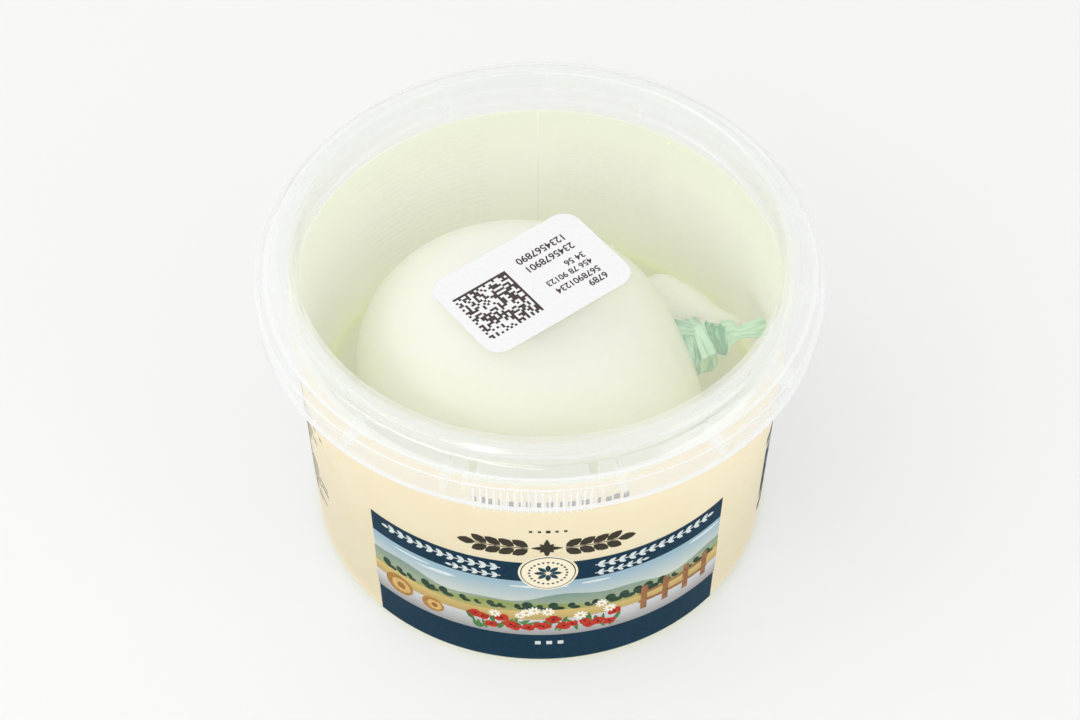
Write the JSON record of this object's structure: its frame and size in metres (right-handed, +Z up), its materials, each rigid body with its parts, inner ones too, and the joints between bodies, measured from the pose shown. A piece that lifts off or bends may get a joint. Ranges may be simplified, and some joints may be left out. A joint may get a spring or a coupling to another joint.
{
  "type": "tub of burrata",
  "caption": "Round clear plastic tub with a press-on lid, filled with whey in which a soft white cheese pouch lies, its neck tied with a green ribbon.",
  "frame": {"origin": "middle of the foot, in the plane that the tub stands on", "axes": "+Z up through the middle of the lid; -Y is the front, where the guard ring has its tear tab; +X is the side that the cheese's tied neck points to"},
  "size_m": [0.101, 0.101, 0.0678],
  "materials": {
    "tub_plastic": "translucent moulded polypropylene, semi-gloss",
    "lid_plastic": "clear moulded polypropylene, slightly hazy",
    "sticker_paper": "coated, semi-gloss",
    "cheese": "smooth wet stretched curd, soft sheen",
    "tie_ribbon": "thin translucent film ribbon",
    "whey": "clear liquid, slightly milky and green-yellow"
  },
  "bodies": {
    "root": {"tub": "tub_plastic", "lid": "lid_plastic", "sticker": "sticker_paper", "burrata": "cheese", "tie": "tie_ribbon", "whey": "whey"}
  },
  "joints": []
}
